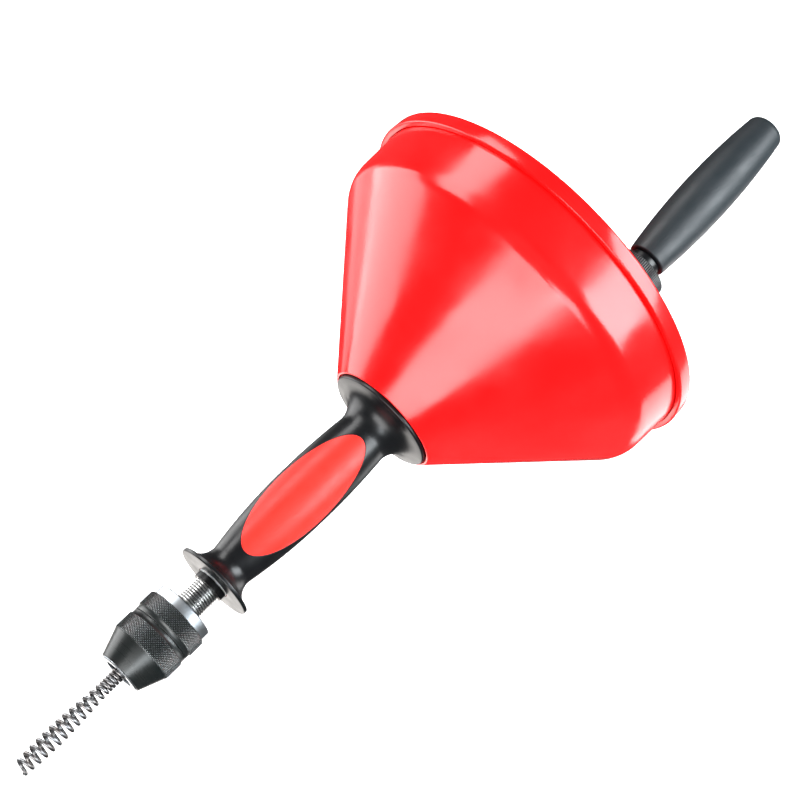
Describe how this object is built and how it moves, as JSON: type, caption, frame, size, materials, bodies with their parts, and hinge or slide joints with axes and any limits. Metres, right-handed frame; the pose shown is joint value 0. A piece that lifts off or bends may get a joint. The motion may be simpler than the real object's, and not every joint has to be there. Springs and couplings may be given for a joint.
{
  "type": "drain snake machine",
  "caption": "Hand drain auger: a closed funnel drum of spring cable, turned by an offset crank behind a fixed grip, with a keyless chuck that locks the cable.",
  "frame": {"origin": "on the spindle's axis, at the middle of the grip that the hand holds", "axes": "+X along the spindle towards the cable's tip, +Z out of the grip's oval window, at rest with the crank towards +Z and +Y"},
  "size_m": [0.5122, 0.2242, 0.2242],
  "materials": {
    "red_plastic": "glossy moulded plastic",
    "grip_black": "satin overmoulded grip",
    "black_sleeve": "black oxide, knurled",
    "bright_steel": "bright turned steel",
    "cable_steel": "dark oiled spring steel",
    "handle_slate": "satin moulded plastic",
    "nylon": "moulded bush",
    "dark_collar": "dark metal",
    "zinc_screw": "zinc-plated",
    "brass": "machined"
  },
  "bodies": {
    "grip": {"grip_core": "red_plastic", "grip_cover": "grip_black", "grip_bush_front": "nylon", "grip_bush_rear": "nylon"},
    "drum": {"spindle_tube": "bright_steel", "spindle_nut": "zinc_screw", "spindle_screws": "zinc_screw", "thrust_washer_rear": "bright_steel", "thrust_washer_front": "bright_steel", "lock_collar": "dark_collar", "chuck_body": "bright_steel", "chuck_rear_sleeve": "black_sleeve", "chuck_race": "bright_steel", "chuck_balls": "bright_steel", "snake_lead_in": "cable_steel", "snake_coil": "cable_steel", "snake_anchor": "zinc_screw", "anchor_screw": "zinc_screw", "drum_shell": "red_plastic", "drum_lid": "red_plastic", "lid_screws": "zinc_screw", "drive_shank": "bright_steel", "shank_screws": "zinc_screw", "crank_insert": "brass", "crank_collar": "dark_collar", "crank_spacer": "grip_black", "crank_axle": "bright_steel", "crank_washer": "zinc_screw", "crank_screw": "zinc_screw"},
    "chuck_sleeve": {"chuck_front_sleeve": "black_sleeve", "chuck_nut": "bright_steel"},
    "jaw_1_body": {"jaw_1": "bright_steel"},
    "jaw_2_body": {"jaw_2": "bright_steel"},
    "jaw_3_body": {"jaw_3": "bright_steel"},
    "snake": {"snake_head": "cable_steel", "snake_shaft": "cable_steel"},
    "crank_grip": {"crank_handle": "handle_slate", "crank_cap": "handle_slate"}
  },
  "joints": [
    {"name": "drum_spin", "type": "hinge", "parent": "grip", "child": "drum", "pos_m": [0, 0, 0], "axis": [1, 0, 0], "continuous": true},
    {"name": "crank_handle_spin", "type": "hinge", "parent": "drum", "child": "crank_grip", "pos_m": [-0.205, 0.0366, 0.075], "axis": [-0.9991, -0.0419, 0], "continuous": true},
    {"name": "chuck_sleeve_turn", "type": "hinge", "parent": "drum", "child": "chuck_sleeve", "pos_m": [0.11, 0, 0], "axis": [1, 0, 0], "range_deg": [0, 1260]},
    {"name": "cable_feed", "type": "slide", "parent": "drum", "child": "snake", "axis": [1, 0, 0], "range_m": [-0.01, 0.1]},
    {"name": "jaw_1_slide", "type": "slide", "parent": "drum", "child": "jaw_1_body", "axis": [-0.9659, 0, 0.2588], "range_m": [0, 0.0071]},
    {"name": "jaw_2_slide", "type": "slide", "parent": "drum", "child": "jaw_2_body", "axis": [-0.9659, -0.2241, -0.1294], "range_m": [0, 0.0071]},
    {"name": "jaw_3_slide", "type": "slide", "parent": "drum", "child": "jaw_3_body", "axis": [-0.9659, 0.2241, -0.1294], "range_m": [0, 0.0071]}
  ],
  "couplings": [
    {"joint": "jaw_1_slide", "follows": "chuck_sleeve_turn", "m_per_rad": 0.00031831},
    {"joint": "jaw_2_slide", "follows": "chuck_sleeve_turn", "m_per_rad": 0.00031831},
    {"joint": "jaw_3_slide", "follows": "chuck_sleeve_turn", "m_per_rad": 0.00031831}
  ]
}
